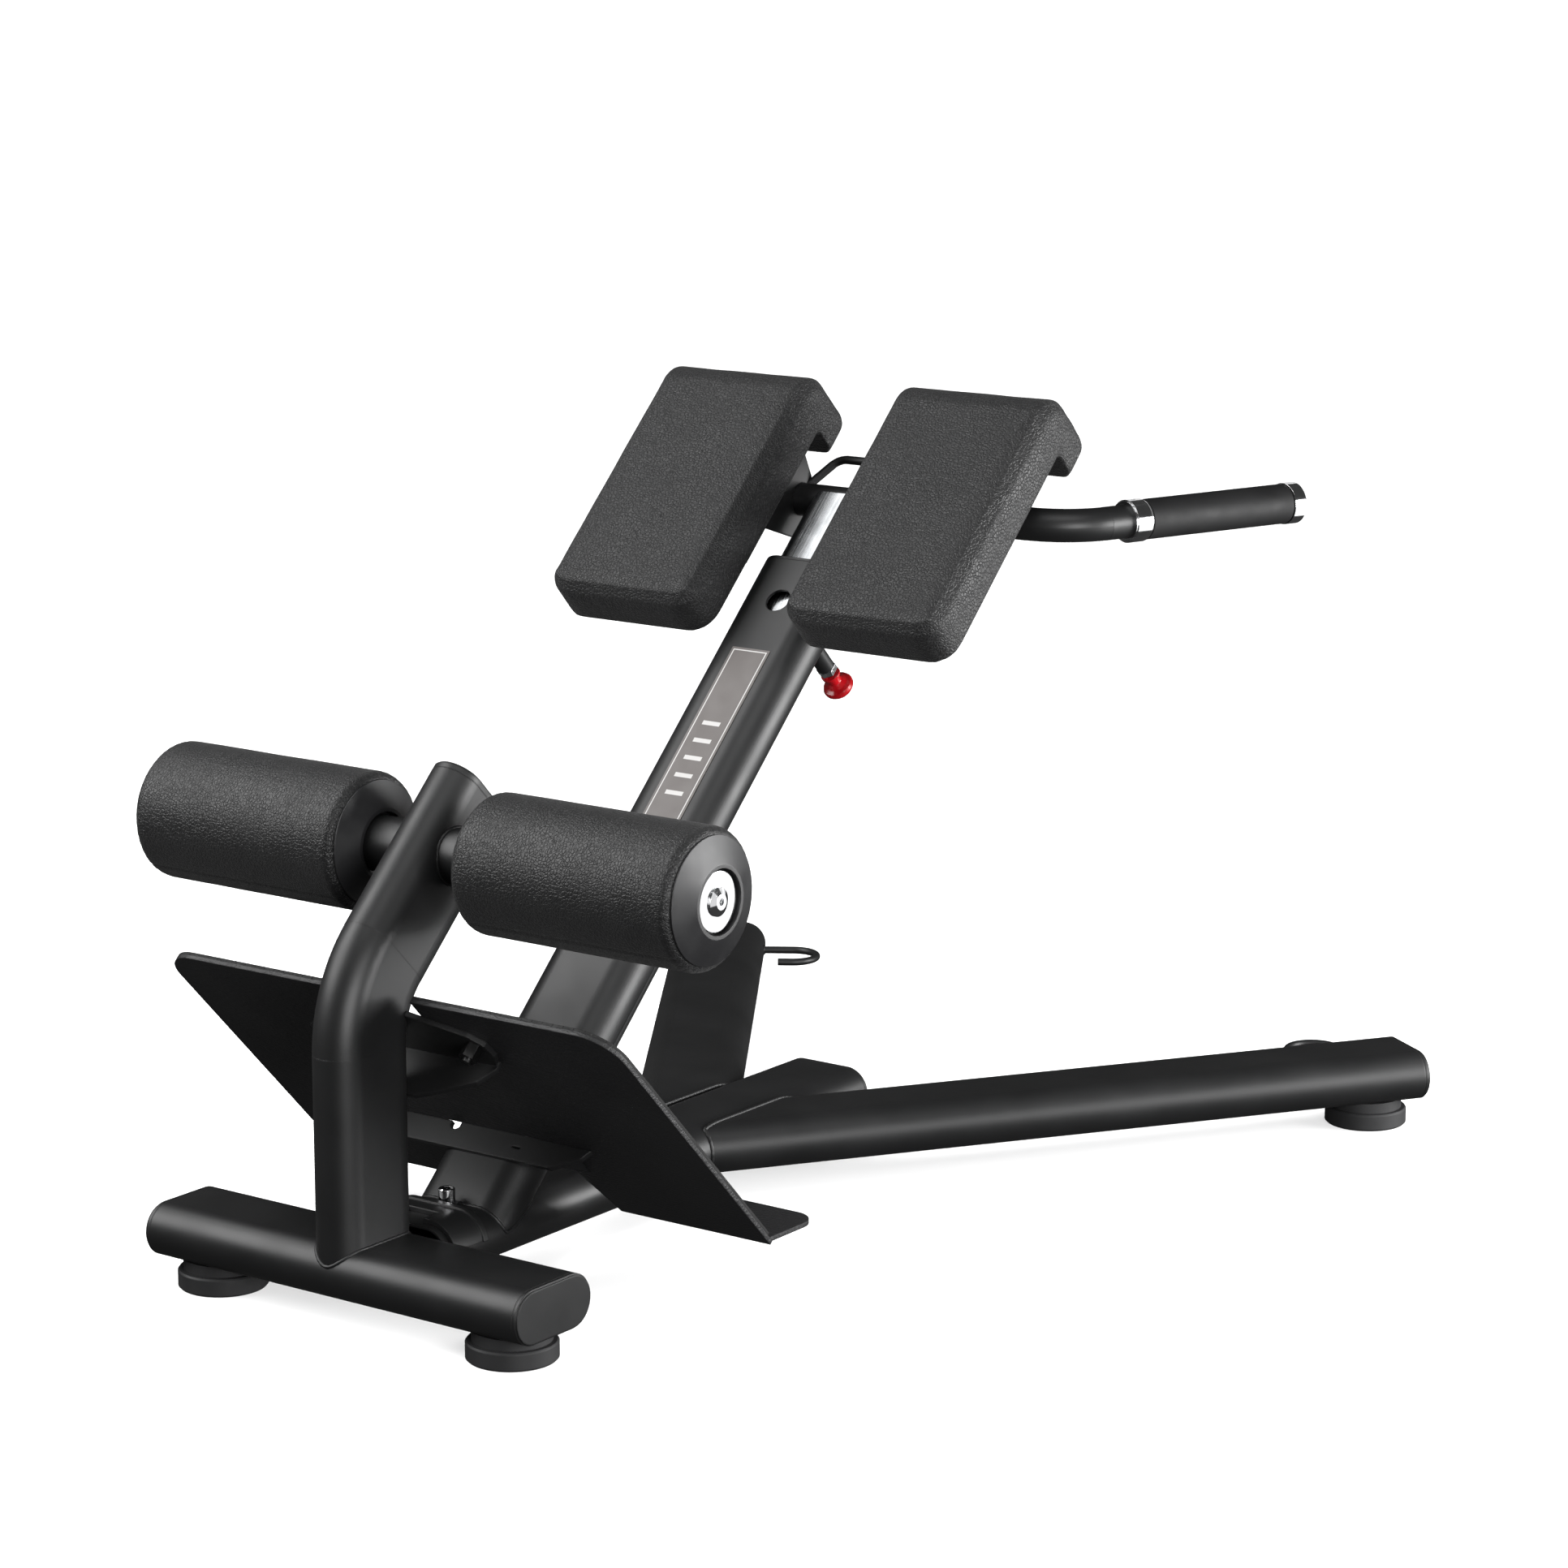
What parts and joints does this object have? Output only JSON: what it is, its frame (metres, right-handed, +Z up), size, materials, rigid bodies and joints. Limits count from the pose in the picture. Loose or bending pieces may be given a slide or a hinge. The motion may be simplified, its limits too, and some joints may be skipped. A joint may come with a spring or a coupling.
{
  "type": "roman chair",
  "caption": "Free-standing 45 degree back-extension bench: adjustable hip pads on a sliding carriage, foam foot rollers, a footplate, and outward-angled handles on a Y-shaped base.",
  "frame": {"origin": "on the floor, at the middle of the machine's footprint", "axes": "+X from the foot rollers to the hip pads, +Y to the left, +Z up"},
  "size_m": [1.3907, 1.1216, 0.8875],
  "materials": {
    "frame_coat": "satin powder coat with a fine texture",
    "foot_rubber": "matt moulded rubber",
    "tread_rubber": "matt ribbed rubber",
    "pad_leather": "pebble-grained synthetic leather",
    "black_plastic": "fine matt texture",
    "grip_rubber": "smooth satin rubber",
    "bright_chrome": "polished",
    "slider_steel": "plated, with faint lengthwise rubbing marks",
    "plated_steel": "blackened steel",
    "knob_red": "glossy",
    "label_plate": "printed film with a plain border"
  },
  "bodies": {
    "frame": {"rear_crossfoot": "frame_coat", "rear_end_plates": "frame_coat", "base_beam": "frame_coat", "beam_end_plate": "frame_coat", "left_leg": "frame_coat", "right_leg": "frame_coat", "left_leg_end_plate": "frame_coat", "right_leg_end_plate": "frame_coat", "rear_left_foot": "foot_rubber", "rear_right_foot": "foot_rubber", "front_left_foot": "foot_rubber", "front_right_foot": "foot_rubber", "foot_collars": "foot_rubber", "left_band_hook": "frame_coat", "right_band_hook": "frame_coat", "beam_saddle": "frame_coat", "saddle_bolt": "bright_chrome", "saddle_washer": "bright_chrome", "roller_post": "frame_coat", "roller_post_cap": "frame_coat", "axle_tube": "frame_coat", "axle_plugs": "plated_steel", "axle_washers": "bright_chrome", "axle_screws": "bright_chrome", "footplate": "frame_coat", "footplate_tread": "tread_rubber", "upper_bracket": "frame_coat", "bracket_bolts": "plated_steel", "bracket_nuts": "plated_steel", "lower_bracket": "frame_coat", "incline_tube": "frame_coat", "incline_brace": "frame_coat", "mouth_bush": "black_plastic", "name_plate": "label_plate", "pin_housing": "frame_coat", "pin_lock_nut": "bright_chrome"},
    "left_roller": {"left_roller_pad": "pad_leather", "left_roller_inner_cap": "black_plastic", "left_roller_outer_cap": "black_plastic", "left_roller_sleeve": "black_plastic"},
    "right_roller": {"right_roller_pad": "pad_leather", "right_roller_inner_cap": "black_plastic", "right_roller_outer_cap": "black_plastic", "right_roller_sleeve": "black_plastic"},
    "carriage": {"slider_tube": "slider_steel", "slider_guide": "black_plastic", "handlebar": "frame_coat", "pull_loop": "frame_coat", "left_pad_bracket": "frame_coat", "right_pad_bracket": "frame_coat", "left_pad": "pad_leather", "right_pad": "pad_leather", "left_grip": "grip_rubber", "right_grip": "grip_rubber", "left_grip_ring": "bright_chrome", "right_grip_ring": "bright_chrome", "left_bar_cap": "bright_chrome", "right_bar_cap": "bright_chrome"},
    "pin": {"pop_pin": "plated_steel", "pin_knob": "knob_red"}
  },
  "joints": [
    {"name": "left_roller_spin", "type": "hinge", "parent": "frame", "child": "left_roller", "pos_m": [-0.51251, 0.2195, 0.47415], "axis": [0, 1, 0], "continuous": true},
    {"name": "right_roller_spin", "type": "hinge", "parent": "frame", "child": "right_roller", "pos_m": [-0.51251, -0.2195, 0.47415], "axis": [0, 1, 0], "continuous": true},
    {"name": "carriage_slide", "type": "slide", "parent": "frame", "child": "carriage", "axis": [0.7173, 0, 0.6968], "range_m": [-0.075, 0.1]},
    {"name": "pin_pull", "type": "slide", "parent": "frame", "child": "pin", "axis": [0.6968, 0, -0.7173], "range_m": [-0.0046, 0.012]}
  ]
}
